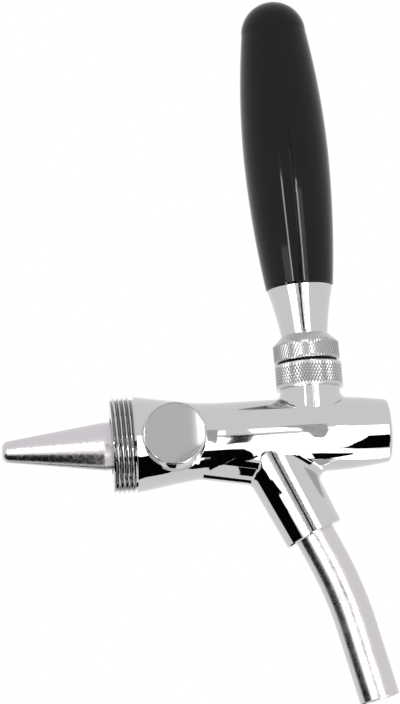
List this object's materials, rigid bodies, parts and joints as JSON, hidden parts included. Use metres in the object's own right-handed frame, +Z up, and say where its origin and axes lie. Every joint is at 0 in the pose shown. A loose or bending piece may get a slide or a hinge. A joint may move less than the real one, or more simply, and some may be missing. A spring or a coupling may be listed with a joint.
{
  "type": "beer tap",
  "caption": "Chromed lever beer tap with a threaded rear, side boss, pointed flow compensator, bent spout and a black bulbous handle.",
  "frame": {"origin": "centre of the threaded rear face, on the body's axis", "axes": "+X forward along the body towards the spout side, +Z up to the handle"},
  "size_m": [0.1171, 0.0423, 0.2164],
  "materials": {
    "chrome": "polished",
    "knurled_chrome": "polished, knurled",
    "satin_steel": "satin",
    "turned_steel": "fine turned",
    "seal_rubber": "matt",
    "washer_rubber": "matt",
    "dust_rubber": "matt",
    "white_polymer": "matt",
    "plain_steel": "turned",
    "plain_brass": "turned",
    "black_grip": "gloss",
    "insert_brass": "turned"
  },
  "bodies": {
    "root": {"tap_body": "chrome", "spout_tube": "satin_steel", "spout_seal": "seal_rubber", "collar_nut": "knurled_chrome", "ball_washer": "white_polymer", "ball_seal": "seal_rubber", "adjuster_gland": "chrome"},
    "lever": {"ball_lever": "plain_steel", "dust_washer": "dust_rubber", "ferrule": "knurled_chrome", "grip": "black_grip", "grip_insert": "insert_brass", "grip_stud": "plain_steel"},
    "valve": {"valve_shaft": "plain_brass", "valve_washer": "washer_rubber", "valve_nut": "plain_brass", "valve_seal_rear": "seal_rubber", "valve_seal_front": "seal_rubber"},
    "compensator": {"compensator_cone": "turned_steel"},
    "adjuster": {"adjuster_spindle": "plain_steel", "adjuster_seal": "seal_rubber", "adjuster_lever": "chrome", "adjuster_screw": "plain_steel"}
  },
  "joints": [
    {"name": "handle_tilt", "type": "hinge", "parent": "root", "child": "lever", "pos_m": [0.0607, 0, 0.0155], "axis": [0, 1, 0], "range_deg": [0, 6]},
    {"name": "valve_slide", "type": "slide", "parent": "root", "child": "valve", "axis": [1, 0, 0], "range_m": [-0.0017, 0]},
    {"name": "compensator_slide", "type": "slide", "parent": "root", "child": "compensator", "axis": [1, 0, 0], "range_m": [-0.00169, 0.00169]},
    {"name": "adjuster_turn", "type": "hinge", "parent": "root", "child": "adjuster", "pos_m": [0.0171, 0, 0], "axis": [0, 1, 0], "range_deg": [-51, 51]}
  ],
  "couplings": [
    {"joint": "valve_slide", "follows": "handle_tilt", "m_per_rad": -0.0155},
    {"joint": "adjuster_turn", "follows": "compensator_slide", "rad_per_m": -517.87}
  ]
}
